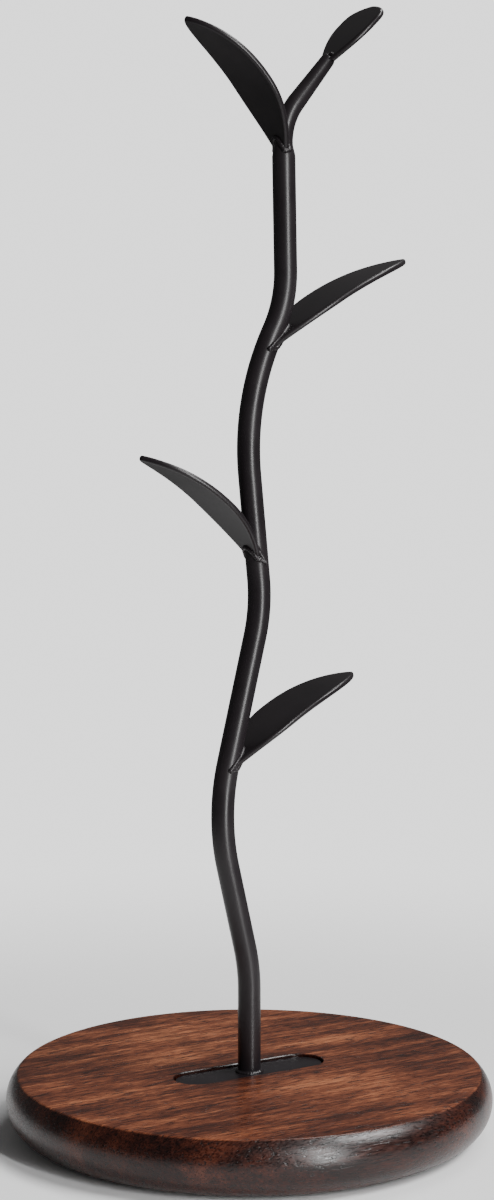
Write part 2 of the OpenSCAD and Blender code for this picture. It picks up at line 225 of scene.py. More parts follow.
# %% Powder coat material
def make_powder_coat():
    material, tree, shader = new_material("black_powder_coat")
    place = add(tree, "ShaderNodeTexCoord").outputs["Object"]
    cloudy = noise(tree, place, 60.0, 3.0)
    peel = noise(tree, place, 900.0, 2.0)
    grit = noise(tree, place, 3200.0, 2.0, 0.6)
    colour = ramp(tree, cloudy, [(0.3, (0.0085, 0.0066, 0.0078)), (0.7, (0.0140, 0.0112, 0.0128))])
    tree.links.new(colour, shader.inputs["Base Color"])
    gloss = add(
        tree, "ShaderNodeMapRange",
        {"Value": cloudy, "From Min": 0.3, "From Max": 0.7, "To Min": 0.29, "To Max": 0.37},
    ).outputs["Result"]
    tree.links.new(gloss, shader.inputs["Roughness"])
    sums = {0: grit, 1: 0.35, 2: peel}
    relief = add(tree, "ShaderNodeMath", sums, operation="MULTIPLY_ADD").outputs["Value"]
    bump = add(tree, "ShaderNodeBump", {"Height": relief, "Strength": 0.28, "Distance": 0.06 * MM})
    tree.links.new(bump.outputs["Normal"], shader.inputs["Normal"])
    shader.inputs["Specular IOR Level"].default_value = 0.36
    return material


powder_coat = make_powder_coat()
print("made", powder_coat.name)

# %% [markdown]
# ## Zinc plate and rubber
# Under the base are two plated screws with their washers, and four rubber pads. Zinc plate is
# bright but faintly mottled, with fine scratches. Rubber is dull and slightly dusty.


# %% Zinc and rubber materials
def make_zinc():
    material, tree, shader = new_material("zinc_plate")
    place = add(tree, "ShaderNodeTexCoord").outputs["Object"]
    mottle = noise(tree, place, 500.0, 4.0)
    scratches = noise(tree, stretched(tree, place, (300, 6000, 6000)), 1.0, 3.0)
    colour = ramp(tree, mottle, [(0.3, (0.50, 0.51, 0.54)), (0.7, (0.68, 0.69, 0.70))])
    tree.links.new(colour, shader.inputs["Base Color"])
    gloss = add(
        tree, "ShaderNodeMapRange",
        {"Value": scratches, "From Min": 0.3, "From Max": 0.7, "To Min": 0.24, "To Max": 0.42},
    ).outputs["Result"]
    tree.links.new(gloss, shader.inputs["Roughness"])
    relief = {"Height": scratches, "Strength": 0.15, "Distance": 0.02 * MM}
    bump = add(tree, "ShaderNodeBump", relief)
    tree.links.new(bump.outputs["Normal"], shader.inputs["Normal"])
    shader.inputs["Metallic"].default_value = 1.0
    return material


def make_rubber():
    material, tree, shader = new_material("black_rubber")
    place = add(tree, "ShaderNodeTexCoord").outputs["Object"]
    dust = noise(tree, place, 250.0, 5.0, 0.6)
    grit = noise(tree, place, 2500.0, 2.0)
    colour = ramp(tree, dust, [(0.35, (0.018, 0.018, 0.018)), (0.75, (0.040, 0.039, 0.037))])
    tree.links.new(colour, shader.inputs["Base Color"])
    bump = add(tree, "ShaderNodeBump", {"Height": grit, "Strength": 0.4, "Distance": 0.05 * MM})
    tree.links.new(bump.outputs["Normal"], shader.inputs["Normal"])
    shader.inputs["Roughness"].default_value = 0.82
    return material


zinc = make_zinc()
rubber = make_rubber()
print("made", zinc.name, "and", rubber.name)

# %% [markdown]
# ## Making and placing meshes
# Each piece ends as a plain mesh whose object sits untouched at the origin. These helpers turn
# vertices and faces into such an object, loft a skin through a stack of closed loops, and turn
# the result of a Geometry Nodes tree into a mesh of its own.


# %% Mesh helpers
MERGE = 0.0005 * MM


def link_mesh(name, vertices, faces, material=None):
    """A smooth object from vertices and faces, doubles merged and faces turned outwards."""
    mesh = bpy.data.meshes.new(name)
    mesh.from_pydata([tuple(v) for v in vertices], [], faces)
    work = bmesh.new()
    work.from_mesh(mesh)
    bmesh.ops.remove_doubles(work, verts=work.verts, dist=MERGE)
    bmesh.ops.dissolve_degenerate(work, edges=work.edges, dist=MERGE)
    bmesh.ops.recalc_face_normals(work, faces=work.faces)
    for face in work.faces:
        face.smooth = True
    work.to_mesh(mesh)
    work.free()
    piece = bpy.data.objects.new(name, mesh)
    bpy.context.scene.collection.objects.link(piece)
    if material:
        mesh.materials.append(material)
    return piece


def loft(name, loops, material=None):
    """A closed skin through loops of equal length; the first and the last shrink to a point."""
    count = len(loops[0])
    vertices = [tuple(v) for loop in loops for v in loop]
    faces = []
    for k in range(len(loops) - 1):
        here, above = k * count, (k + 1) * count
        for j in range(count):
            after = (j + 1) % count
            faces.append((here + j, above + j, above + after, here + after))
    return link_mesh(name, vertices, faces, material)


def corner(before, point, after, length, steps=4):
    """Points that turn a sharp corner of a profile into a small curve of that length."""
    before, point, after = (np.array(p, float) for p in (before, point, after))
    start = point + (before - point) / np.linalg.norm(before - point) * length
    end = point + (after - point) / np.linalg.norm(after - point) * length
    return [
        tuple((1 - t) ** 2 * start + 2 * t * (1 - t) * point + t * t * end)
        for t in np.linspace(0, 1, steps + 1)
    ]


def baked(source, name):
    """The evaluated object as a plain mesh object; the source, with its modifiers, goes."""
    graph = bpy.context.evaluated_depsgraph_get()
    mesh = bpy.data.meshes.new_from_object(source.evaluated_get(graph), depsgraph=graph)
    mesh.name = name
    bpy.data.objects.remove(source, do_unlink=True)
    piece = bpy.data.objects.new(name, mesh)
    bpy.context.scene.collection.objects.link(piece)
    return piece


def finish_piece(piece, slot, *nodes):
    """Says what a piece stands for and that it is part of the one body; slot is not used."""
    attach(piece, "root")
    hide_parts(*nodes)
    mesh = piece.data
    print(piece.name, "for", ", ".join(nodes), "-", len(mesh.vertices), "vertices")


# %% [markdown]
# ## The wooden base
# The base was turned on a lathe and then milled: its top face meets the rounded side in a crisp
# edge, and a slot with round ends is let into the top for the foot plate. A lathe spin alone
# can't hold the slot, so the skin is lofted from loops that start as the slot's outline, open
# out into circles, and run over the edge, down the side and in under the base. Every loop has
# its points on the same rays, so the faces stay tidy. Sharp edges on wood always carry a small
# ease, because that is where the light catches.

# %% Sizes of the base
wood_low, wood_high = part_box("wood_base")
plate_low, plate_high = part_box("foot_plate")
BASE_R = 85 * MM
WOOD_BOTTOM = wood_low.z
WOOD_TOP = wood_high.z
BELLY_Z = WOOD_BOTTOM + 11 * MM
TOP_INSET = 4.2 * MM
UNDER_INSET = 8 * MM
PLATE_GAP = 0.5 * MM
TOP_EASE = 0.6 * MM
FOOT_EASE = 0.7 * MM
SLOT_EASE = 0.25 * MM
RAYS = 288
ray_angles = np.linspace(0, 2 * math.pi, RAYS, endpoint=False)


def slot_loop(length, width, z):
    """The outline of a slot with round ends, one point on each ray."""
    half_run, end_r = (length - width) / 2, width / 2
    points = []
    for angle in ray_angles:
        c, s = math.cos(angle), math.sin(angle)
        if abs(s) * half_run >= end_r * abs(c):
            reach = end_r / abs(s)
        else:
            reach = half_run * abs(c) + math.sqrt(end_r**2 - (half_run * s) ** 2)
        points.append((reach * c, reach * s, z))
    return np.array(points)


def circle_loop(radius, z):
    """A circle with one point on each ray."""
    x, y = radius * np.cos(ray_angles), radius * np.sin(ray_angles)
    return np.column_stack([x, y, np.full(RAYS, z)])


def side_arc(inset, height, steps):
    """The turned side, from the widest line to a face: (radius, height above that line) pairs."""
    r = (inset**2 + height**2) / (2 * inset)
    sweep = math.asin(height / r)
    return [
        (BASE_R - r + r * math.cos(a), r * math.sin(a)) for a in np.linspace(0, sweep, steps + 1)
    ]


def base_profile():
    """From the rim of the top face, over the side, to the edge of the underside."""
    upper = [(r, BELLY_Z + h) for r, h in side_arc(TOP_INSET, WOOD_TOP - BELLY_Z, 18)]
    lower = [(r, BELLY_Z - h) for r, h in side_arc(UNDER_INSET, BELLY_Z - WOOD_BOTTOM, 22)]
    rim, foot = upper[-1], lower[-1]
    inside_top = (rim[0] - 5 * MM, WOOD_TOP)
    inside_foot = (foot[0] - 5 * MM, WOOD_BOTTOM)
    points = corner(inside_top, rim, upper[-2], TOP_EASE)
    points += upper[-2:0:-1] + lower[:-1]
    return points + corner(lower[-2], foot, inside_foot, FOOT_EASE)


wood_t = WOOD_TOP - WOOD_BOTTOM
print("base radius", round(BASE_R / MM, 1), "mm, wood", round(wood_t / MM, 1), "mm thick")


# %% Skin of the base
def make_base_skin():
    plate_l = plate_high.x - plate_low.x + 2 * PLATE_GAP
    plate_w = plate_high.y - plate_low.y + 2 * PLATE_GAP
    profile = base_profile()
    slot_floor = slot_loop(plate_l, plate_w, plate_low.z)
    mouth = slot_loop(plate_l + 2 * SLOT_EASE, plate_w + 2 * SLOT_EASE, WOOD_TOP)
    rim = circle_loop(*profile[0])
    loops = [slot_floor * (0, 0, 1), slot_floor * (0.5, 0.5, 1), slot_floor]
    loops.append(slot_loop(plate_l, plate_w, WOOD_TOP - SLOT_EASE))
    loops += [mouth + (rim - mouth) * t for t in np.linspace(0, 1, 9)]
    loops += [circle_loop(r, z) for r, z in profile[1:]]
    loops += [circle_loop(profile[-1][0] * t, WOOD_BOTTOM) for t in (0.75, 0.5, 0.25, 0)]
    return loft("wood_base_skin", loops, wood)


base_skin = make_base_skin()
print("skin of", len(base_skin.data.polygons), "faces")

# %% [markdown]
# ### Holes under the base
# Two counterbored screw holes and four shallow pad recesses are drilled from below. Drilling is
# what a Boolean does best, and a cutter turned with its own small chamfer leaves an eased edge,
# as a countersink would. The two pockets that clear the bosses under the plate are cut as well.


# %% Drill the base
def turned(name, profile, centre, material=None, steps=64):
    """A solid of revolution about a vertical axis, from (radius, z) pairs."""
    angles = np.linspace(0, 2 * math.pi, steps, endpoint=False)
    loops = [
        [(centre[0] + r * math.cos(a), centre[1] + r * math.sin(a), z) for a in angles]
        for r, z in profile
    ]
    return loft(name, loops, material)


def hole_profile(radius, low, high, ease):
    """A drill that starts below the face at low, with a chamfer where it comes through it."""
    below = low - 2 * MM
    wide = radius + ease
    return [(0, below), (wide, below), (wide, low), (radius, low + ease), (radius, high), (0, high)]


def straight_profile(radius, low, high):
    """A plain round cutter."""
    return [(0, low), (radius, low), (radius, high), (0, high)]


screw_low, screw_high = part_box("screws")
washer_low, washer_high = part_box("washers")
boss_low, boss_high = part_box("threaded_bosses")
head_r = (washer_high.y - washer_low.y) / 2
SCREW_PITCH = washer_high.x - washer_low.x - 2 * head_r
pad_low, pad_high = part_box("pad_back_right")
PAD_R = (pad_high.x - pad_low.x) / 2
PAD_AT = (pad_low + pad_high) / 2
HEAD_GAP = 0.5 * MM
COUNTERBORE_EASE = 0.4 * MM
SCREW_HOLE_R = 2.75 * MM
BOSS_GAP = 0.6 * MM
PAD_RECESS = 0.8 * MM
PAD_GAP = 0.2 * MM
OVERCUT = 0.1 * MM
print("screws from", round(screw_low.z / MM, 1), "to", round(screw_high.z / MM, 1), "mm")


def drills():
    """The cutters: name, profile and place of each."""
    head_hole = hole_profile(head_r + HEAD_GAP, WOOD_BOTTOM, washer_high.z, COUNTERBORE_EASE)
    screw_hole = straight_profile(SCREW_HOLE_R, washer_high.z - MM, boss_low.z)
    pocket_r = (boss_high.y - boss_low.y) / 2 + BOSS_GAP
    pocket = straight_profile(pocket_r, boss_low.z - BOSS_GAP, plate_low.z + OVERCUT)
    recess = hole_profile(PAD_R + PAD_GAP, WOOD_BOTTOM, WOOD_BOTTOM + PAD_RECESS, PAD_GAP)
    for side in (-1, 1):
        screw_at = (side * SCREW_PITCH / 2, 0)
        yield "counterbore", head_hole, screw_at
        yield "screw_hole", screw_hole, screw_at
        yield "boss_pocket", pocket, screw_at
        for across in (-1, 1):
            yield "recess", recess, (side * PAD_AT.x, across * PAD_AT.y)


def drill_base(skin):
    """The skin with every hole cut, as a plain mesh."""
    cutters = [turned(*drill) for drill in drills()]
    for cutter in cutters:
        cut = skin.modifiers.new(cutter.name, "BOOLEAN")
        cut.object = cutter
        cut.operation = "DIFFERENCE"
        cut.solver = "EXACT"
    base = baked(skin, "wood_base_turned")
    for cutter in cutters:
        bpy.data.objects.remove(cutter, do_unlink=True)
    base.data.shade_smooth()
    base.data.set_sharp_from_angle(angle=math.radians(24))
    return base


base = drill_base(base_skin)
finish_piece(base, "wood", "wood_base")

# %% [markdown]
# ## The foot plate
# A strip of 3 mm steel with fully round ends. It is lofted the same way as the base, with its
# edges broken before it was coated.

# %% Foot plate
PLATE_EASE = 0.5 * MM


def make_plate():
    length, width = plate_high.x - plate_low.x, plate_high.y - plate_low.y
    low, high = plate_low.z, plate_high.z
    outline = corner((width / 2 - MM, high), (width / 2, high), (width / 2, low), PLATE_EASE)
    outline += corner((width / 2, high), (width / 2, low), (width / 2 - MM, low), PLATE_EASE)
    top, under = slot_loop(length, width, high), slot_loop(length, width, low)
    loops = [top * (0, 0, 1), top * (0.5, 0.5, 1)]
    for r, z in outline:
        shrink = width - 2 * r
        loops.append(slot_loop(length - shrink, width - shrink, z))
    loops += [under * (0.5, 0.5, 1), under * (0, 0, 1)]
    plate = loft("foot_plate_eased", loops, powder_coat)
    plate.data.set_sharp_from_angle(angle=math.radians(40))
    return plate


plate = make_plate()
finish_piece(plate, "powder_coat", "foot_plate")

# %% [markdown]
# ## The rod
# The rod was bent cold on a bender, so its shape is a bend chart: a straight run, then a bend of
# a known radius and angle, and so on. The same chart drives this curve. A Geometry Nodes tree
# sweeps a circle along it, so the diameter and the number of sides stay inputs that can be
# changed, and the rod never facets or pinches as a hand-drawn tube would.

# %% Bend chart
STEM_R = 4 * MM
# straight run in millimetres, bend radius in millimetres, turn in degrees towards +X
STEM_CHART = [
    (29, 68, -13.2), (30, 77, 27), (45, 59, -19.5), (36, 87, 32.5), (2, 42, -28), (38, 0, 0),
]
TWIG_CHART = [(4.7, 21, 42), (19, 0, 0)]


def follow(chart, start, spacing=1.2 * MM):
    """Walks a bend chart and returns (distance, x, z, heading) rows, heading from +Z to +X."""
    distance, x, z, heading = start
    rows = [start]
    for run, radius, turn in chart:
        count = max(1, round(run * MM / spacing))
        for k in range(count):
            step = run * MM / count
            x, z = x + step * math.sin(heading), z + step * math.cos(heading)
            distance += step
            rows.append((distance, x, z, heading))
        arc = radius * MM * abs(math.radians(turn))
        count = max(1, round(arc / spacing)) if turn else 0
        for k in range(count):
            step, bend = arc / count, math.radians(turn) / count
            chord = step * math.sin(bend / 2) / (bend / 2)
            middle = heading + bend / 2
            x, z = x + chord * math.sin(middle), z + chord * math.cos(middle)
            heading += bend
            distance += step
            rows.append((distance, x, z, heading))
    return rows


stem_rows = follow(STEM_CHART, (0.0, 0.0, plate_high.z, 0.0))
twig_rows = follow(TWIG_CHART, (0.0, *stem_rows[-1][1:]), 0.6 * MM)
print("rod", round(stem_rows[-1][0] / MM), "mm long, twig", round(twig_rows[-1][0] / MM), "mm")


def rod_at(distance):
    """The point and heading at a distance along the rod."""
    table = np.array(stem_rows)
    return [float(np.interp(distance, table[:, 0], table[:, k])) for k in (1, 2, 3)]


# %% Sweep tree
def socket(tree, name, kind, value=None):
    """A named input on a Geometry Nodes tree; returns its identifier."""
    made = tree.interface.new_socket(name, in_out="INPUT", socket_type=kind)
    if value is not None:
        made.default_value = value
    return made.identifier


def new_tree(name):
    tree = bpy.data.node_groups.new(name, "GeometryNodeTree")
    tree.interface.new_socket("Geometry", in_out="INPUT", socket_type="NodeSocketGeometry")
    tree.interface.new_socket("Geometry", in_out="OUTPUT", socket_type="NodeSocketGeometry")
    return tree


def close_tree(tree, entry, geometry):
    """Ends a tree as every tree here ends: Realize Instances, then Set Material."""
    real = add(tree, "GeometryNodeRealizeInstances", {"Geometry": geometry}).outputs["Geometry"]
    paint = {"Geometry": real, "Material": entry.outputs["Material"]}
    painted = add(tree, "GeometryNodeSetMaterial", paint)
    add(tree, "NodeGroupOutput", {"Geometry": painted.outputs["Geometry"]})


def make_sweep_tree():
    tree = new_tree("sweep_a_round_bar")
    keys = {
        "Sides": socket(tree, "Sides", "NodeSocketInt", 48),
        "Material": socket(tree, "Material", "NodeSocketMaterial"),
    }
    entry = add(tree, "NodeGroupInput")
    circle = add(
        tree, "GeometryNodeCurvePrimitiveCircle",
        {"Resolution": entry.outputs["Sides"], "Radius": 1.0},
    )
    thickness = add(tree, "GeometryNodeInputRadius").outputs["Radius"]
    swept = add(
        tree, "GeometryNodeCurveToMesh",
        {
            "Curve": entry.outputs["Geometry"], "Profile Curve": circle.outputs["Curve"],
            "Scale": thickness, "Fill Caps": True,
        },
    ).outputs["Mesh"]
    merged = add(tree, "GeometryNodeMergeByDistance", {"Geometry": swept, "Distance": 0.002 * MM})
    smooth = add(tree, "GeometryNodeSetShadeSmooth", {"Geometry": merged.outputs["Geometry"]})
    close_tree(tree, entry, smooth.outputs["Geometry"])
    return tree, keys


sweep_tree, sweep_keys = make_sweep_tree()


def curve_object(name, points, radii=None, closed=False):
    """A poly curve through points, with a radius at each."""
    data = bpy.data.curves.new(name, "CURVE")
    data.dimensions = "3D"
    spline = data.splines.new("POLY")
    spline.points.add(len(points) - 1)
    spline.use_cyclic_u = closed
    for k, point in enumerate(points):
        spline.points[k].co = (*point, 1.0)
        spline.points[k].radius = radii[k] if radii is not None else 1.0
    made = bpy.data.objects.new(name, data)
    bpy.context.scene.collection.objects.link(made)
    return made


def with_tree(source, tree, keys, **values):
    """Puts a Geometry Nodes tree on an object and fills in its inputs by identifier."""
    modifier = source.modifiers.new(tree.name, "NODES")
    modifier.node_group = tree
    for name, value in values.items():
        modifier[keys[name.replace("_", " ")]] = value
    return source


print("sweep tree inputs:", ", ".join(sweep_keys))

# %% [markdown]
# The stem is one even thickness. The twig starts with a short neck that brings the stem's
# thickness down, tapers a little towards the crown leaf, and ends round. Its thickness is a
# value on each point of its curve, so the same tree sweeps both.

# %% Stem and twig
TWIG_R = 3.2 * MM
TWIG_TIP_R = 2.5 * MM
NECK = 4.7 * MM


def sweep(name, rows, radii):
    """A round bar through the rows of a bend chart, with a radius at each."""
    curve = curve_object(name, [(x, 0.0, z) for _, x, z, _ in rows], radii)
    return baked(with_tree(curve, sweep_tree, sweep_keys, Sides=48, Material=powder_coat), name)


def twig_radius(distance, length):
    """A smooth neck, an even bend, then a slight taper."""
    if distance < NECK:
        t = distance / NECK
        return STEM_R + (TWIG_R - STEM_R) * (3 * t * t - 2 * t**3)
    taper_from = length - TWIG_CHART[-1][0] * MM
    share = max(0.0, (distance - taper_from) / (length - taper_from))
    return TWIG_R + (TWIG_TIP_R - TWIG_R) * share


stem = sweep("stem_rod", stem_rows, [STEM_R] * len(stem_rows))
stem.data.set_sharp_from_angle(angle=math.radians(50))
finish_piece(stem, "powder_coat", "stem")

twig_length = twig_rows[-1][0]
twig_radii = [twig_radius(row[0], twig_length) for row in twig_rows]
_, end_x, end_z, end_heading = twig_rows[-1]
for angle in np.radians(np.linspace(15, 90, 6)):
    ahead = TWIG_TIP_R * math.sin(angle)
    tip_x = end_x + ahead * math.sin(end_heading)
    tip_z = end_z + ahead * math.cos(end_heading)
    twig_rows.append((twig_length + ahead, tip_x, tip_z, end_heading))
    twig_radii.append(max(TWIG_TIP_R * math.cos(angle), 0.0005 * MM))
twig = sweep("twig_rod", twig_rows, twig_radii)
finish_piece(twig, "powder_coat", "top_twig")

# %% [markdown]
# ## The leaves
# Each leaf is cut from 2 mm sheet, its edges are tumbled round, and it is then arched over a
# former. The outline and the arch each follow a rule, so the leaf is worked out on a grid: how
# far along the blade, and how far across it. What makes it look like steel and not like card is
# the edge: the thickness falls away in a quarter circle within a set distance of the outline,
# all the way round the tip. Measuring that distance on the flat blank, before it is arched,
# gives the same edge everywhere.

# %% Leaf shape
LEAF_W = 24 * MM
LEAF_T = 2 * MM
LEAF_EDGE = 0.85 * MM
LEAF_ROOT_W = 4 * MM
HOOK_FORM = (0.45, 2.7)
CROWN_FORM = (0.62, 4)
TIP_POINT = 1.35


def half_width(u, widest, root, form):
    """Half the width at a share u of the length: a sine out of the root, then a blunt point."""
    belly, full = form
    opening = (root + (widest - root) * np.sin(math.pi / 2 * np.minimum(u / belly, 1.0))) / 2
    past = np.clip((u - belly) / (1 - belly), 0.0, 1.0)
    closing = widest / 2 * np.power(np.maximum(1 - past**full, 0.0), 1 / TIP_POINT)
    return np.where(u < belly, opening, closing)


def on_arch(u, length, rise, droop):
    """Offset from the root and slope of the blade's centre line at a share u of its length."""
    bend_r = length / droop
    slope = rise - droop * u
    out = bend_r * (math.sin(rise) - np.sin(slope))
    up = bend_r * (np.cos(slope) - math.cos(rise))
    return out, up, slope


def distance_to_outline(s, y, outline):
    """The distance of each point of the flat blank from its outline, in metres."""
    a, b = outline[:-1], outline[1:]
    along = b - a
    size = (along**2).sum(1)
    p = np.stack([s, y], axis=-1)[..., None, :]
    t = np.clip(((p - a) * along).sum(-1) / size, 0.0, 1.0)
    nearest = a + t[..., None] * along
    return np.sqrt(((p - nearest) ** 2).sum(-1)).min(-1)


def make_leaf(name, root, side, length, rise, droop, widest, root_w, form, stations=84, columns=16):
    """One blade; rise and droop are in degrees, root is (x, z)."""
    rise, droop = math.radians(rise), math.radians(droop)
    u = np.sin(np.linspace(0, math.pi / 2, stations + 1))
    v = np.sin(np.linspace(-math.pi / 2, math.pi / 2, 2 * columns + 1))
    half = half_width(u, widest, root_w, form)
    s = np.repeat((u * length)[:, None], len(v), axis=1)
    y = half[:, None] * v[None, :]
    fine = np.sin(np.linspace(0, math.pi / 2, 300))
    edge = np.column_stack([fine * length, half_width(fine, widest, root_w, form)])
    outline = np.vstack([edge, edge[-2::-1] * (1, -1)])
    inside = np.minimum(distance_to_outline(s, y, outline), LEAF_EDGE)
    thick = LEAF_T / 2 - LEAF_EDGE + np.sqrt(LEAF_EDGE**2 - (LEAF_EDGE - inside) ** 2)
    x0, z0, slope = on_arch(u, length, rise, droop)
    vertices = []
    for face in (1, -1):
        through = face * thick
        x = root[0] + side * (x0[:, None] - through * np.sin(slope)[:, None])
        z = root[1] + z0[:, None] + through * np.cos(slope)[:, None]
        vertices.append(np.stack([x, y, z], axis=-1))
    across = len(v)
    per_face = (stations + 1) * across
    faces = []
    for k in range(stations):
        for j in range(across - 1):
            a = k * across + j
            quad = (a, a + across, a + across + 1, a + 1)
            faces.append(quad)
            faces.append(tuple(per_face + i for i in reversed(quad)))
        for j in (0, across - 1):
            a = k * across + j
            faces.append((a, per_face + a, per_face + a + across, a + across))
    for j in range(across - 1):
        faces.append((j, j + 1, per_face + j + 1, per_face + j))
    points = np.concatenate([part.reshape(-1, 3) for part in vertices])
    leaf = link_mesh(name, points, faces, powder_coat)
    leaf.data.set_sharp_from_angle(angle=math.radians(60))
    return leaf


print("leaf blank", round(LEAF_W / MM), "mm wide and", round(LEAF_T / MM), "mm thick")

# %% [markdown]
# The four hooks share one width and one form. Each has its own place along the rod, its own
# length, and its own rise and droop, because each was bent and fitted by hand. The crown leaf
# is smaller and grows straight out of the twig's end.

# %% The four hooks and the crown leaf
# side, place along the rod, length (mm); rise and droop (degrees)
HOOKS = {
    "lower_right": (1, 108.5, 61, 49.5, 38.5),
    "middle_left": (-1, 181.5, 60.5, 61, 43.5),
    "middle_right": (1, 255, 66, 44, 31.5),
    "upper_left": (-1, 322, 61, 75, 51.5),
}
CROWN = (27, 49, 9, 22 * MM, 7 * MM)

for name, (side, at, length, rise, droop) in HOOKS.items():
    x, z, _ = rod_at(at * MM)
    hook = make_leaf(
        "hook_" + name, (x, z), side, length * MM, rise, droop, LEAF_W, LEAF_ROOT_W, HOOK_FORM
    )
    finish_piece(hook, "powder_coat", "leaf_" + name)

crown_l, crown_rise, crown_droop, crown_w, crown_root = CROWN
crown = make_leaf(
    "crown_blade", (end_x, end_z), 1, crown_l * MM, crown_rise, crown_droop,
    crown_w, crown_root, CROWN_FORM,
)
finish_piece(crown, "powder_coat", "leaf_crown")

# %% [markdown]
# ## The welds
# A weld bead is a row of small overlapping ripples, each one a pool of metal that froze before
# the next was laid. A Geometry Nodes tree does just that: it walks the seam at an even pitch
# and lays a ball at each step, a little different in size each time. A voxel remesh
# then melts the balls into one skin, which is also what the powder coat does to the real bead.


# %% Weld tree
def make_weld_tree():
    tree = new_tree("lay_a_weld_bead")
    keys = {
        "Pitch": socket(tree, "Pitch", "NodeSocketFloat", 0.9 * MM),
        "Bead Radius": socket(tree, "Bead Radius", "NodeSocketFloat", 1.2 * MM),
        "Unevenness": socket(tree, "Unevenness", "NodeSocketFloat", 0.1),
        "Seed": socket(tree, "Seed", "NodeSocketInt", 1),
        "Material": socket(tree, "Material", "NodeSocketMaterial"),
    }
    entry = add(tree, "NodeGroupInput")
    steps = add(
        tree, "GeometryNodeResampleCurve",
        {"Curve": entry.outputs["Geometry"], "Length": entry.outputs["Pitch"]},
        mode="LENGTH",
    )
    ball = add(
        tree, "GeometryNodeMeshIcoSphere",
        {"Radius": entry.outputs["Bead Radius"], "Subdivisions": 3},
    )
    spread = {0: 1.0, 1: entry.outputs["Unevenness"]}
    least = add(tree, "ShaderNodeMath", spread, operation="SUBTRACT").outputs["Value"]
    most = add(tree, "ShaderNodeMath", spread, operation="ADD").outputs["Value"]
    size = add(
        tree, "FunctionNodeRandomValue",
        {"Min": least, "Max": most, "Seed": entry.outputs["Seed"]},
        data_type="FLOAT",
    )
    laid = add(
        tree, "GeometryNodeInstanceOnPoints",
        {
            "Points": steps.outputs["Curve"], "Instance": ball.outputs["Mesh"],
            "Scale": size.outputs["Value"],
        },
    ).outputs["Instances"]
    close_tree(tree, entry, laid)
    return tree, keys


weld_tree, weld_keys = make_weld_tree()


def lay_weld(name, seam, bead_r, pitch, seed):
    """A bead along a closed seam, melted into one skin and coated."""
    path = curve_object(name, seam, closed=True)
    with_tree(
        path, weld_tree, weld_keys,
        Pitch=pitch, Bead_Radius=bead_r, Unevenness=0.08, Seed=seed, Material=powder_coat,
    )
    bead = baked(path, name)
    melt = bead.modifiers.new("melt", "REMESH")
    melt.mode = "VOXEL"
    melt.voxel_size = 0.16 * MM
    settle = bead.modifiers.new("settle", "SMOOTH")
    settle.iterations = 6
    bead = baked(bead, name)
    bead.data.materials.clear()
    bead.data.materials.append(powder_coat)
    bead.data.shade_smooth()
    return bead


FOOT_BEAD_R = 1.05 * MM
LEAF_BEAD_R = 0.9 * MM
CROWN_BEAD_R = 0.85 * MM
FOOT_PITCH = 0.9 * MM
LEAF_PITCH = 0.8 * MM
print("weld tree inputs:", ", ".join(weld_keys))

# %% [markdown]
# At the foot the seam is a ring. At a leaf it is the line where each face of the blade runs
# into the round rod, so it is found point by point: for each place across the rod, how far
# along the blade its face comes out through the rod's surface. The topmost hook comes out
# through the twig, so the search looks at the whole rod.


# %% Weld the foot and the hooks
rod_xz = np.array([row[1:3] for row in stem_rows] + [row[1:3] for row in twig_rows])
rod_radii = np.array([STEM_R] * len(stem_rows) + twig_radii)


def rod_clearance(x, z, y):
    """How far points are outside the rod, near enough for a bead: negative inside."""
    gaps = np.hypot(x[:, None] - rod_xz[:, 0], z[:, None] - rod_xz[:, 1])
    nearest = gaps.argmin(1)
    return np.hypot(gaps[np.arange(len(x)), nearest], y) - rod_radii[nearest]


def leaf_seam(root, side, length, rise, droop, steps=17):
    """The closed seam round the root of a blade, over its upper face and back under it."""
    u = np.linspace(0, 0.5, 900)
    x0, z0, slope = on_arch(u, length, rise, droop)
    half = half_width(u, LEAF_W, LEAF_ROOT_W, HOOK_FORM)
    seam = []
    for face in (1, -1):
        x = root[0] + side * (x0 - face * LEAF_T / 2 * np.sin(slope))
        z = root[1] + z0 + face * LEAF_T / 2 * np.cos(slope)
        tries = np.linspace(0, STEM_R, 60)
        exits = [int(np.argmax(rod_clearance(x, z, y) > 0)) for y in tries]
        reach = next((y for y, k in zip(tries, exits) if half[k] < y), tries[-1])
        for y in np.linspace(-reach, reach, steps) * face:
            k = int(round(np.interp(abs(y), tries, exits)))
            seam.append((x[k], y, z[k]))
    return seam


ring = [(math.cos(a), math.sin(a)) for a in np.linspace(0, 2 * math.pi, 96, endpoint=False)]
foot_seam = [(c * STEM_R, s * STEM_R, plate_high.z) for c, s in ring]
foot_weld = lay_weld("foot_bead", foot_seam, FOOT_BEAD_R, FOOT_PITCH, 3)
finish_piece(foot_weld, "powder_coat", "weld_foot")

for seed, (name, (side, at, length, rise, droop)) in enumerate(HOOKS.items(), start=11):
    x, z, _ = rod_at(at * MM)
    seam = leaf_seam((x, z), side, length * MM, math.radians(rise), math.radians(droop))
    bead = lay_weld("bead_" + name, seam, LEAF_BEAD_R, LEAF_PITCH, seed)
    finish_piece(bead, "powder_coat", "weld_" + name)

# %% [markdown]
# The crown leaf sits on the round end of the twig, so its seam is a short oval round that end.

# %% Weld the crown leaf
along = Vector((math.sin(end_heading), 0, math.cos(end_heading)))
through = Vector((-along.z, 0, along.x))
crown_at = Vector((end_x, 0, end_z)) + along * TWIG_TIP_R * 0.75
seam_half_w, seam_half_t = TWIG_TIP_R * 1.05, LEAF_T * 0.55
crown_seam = [
    tuple(crown_at + Vector((0, c * seam_half_w, 0)) + through * s * seam_half_t) for c, s in ring
]
crown_weld = lay_weld("bead_crown", crown_seam, CROWN_BEAD_R, LEAF_PITCH, 21)
finish_piece(crown_weld, "powder_coat", "weld_crown")

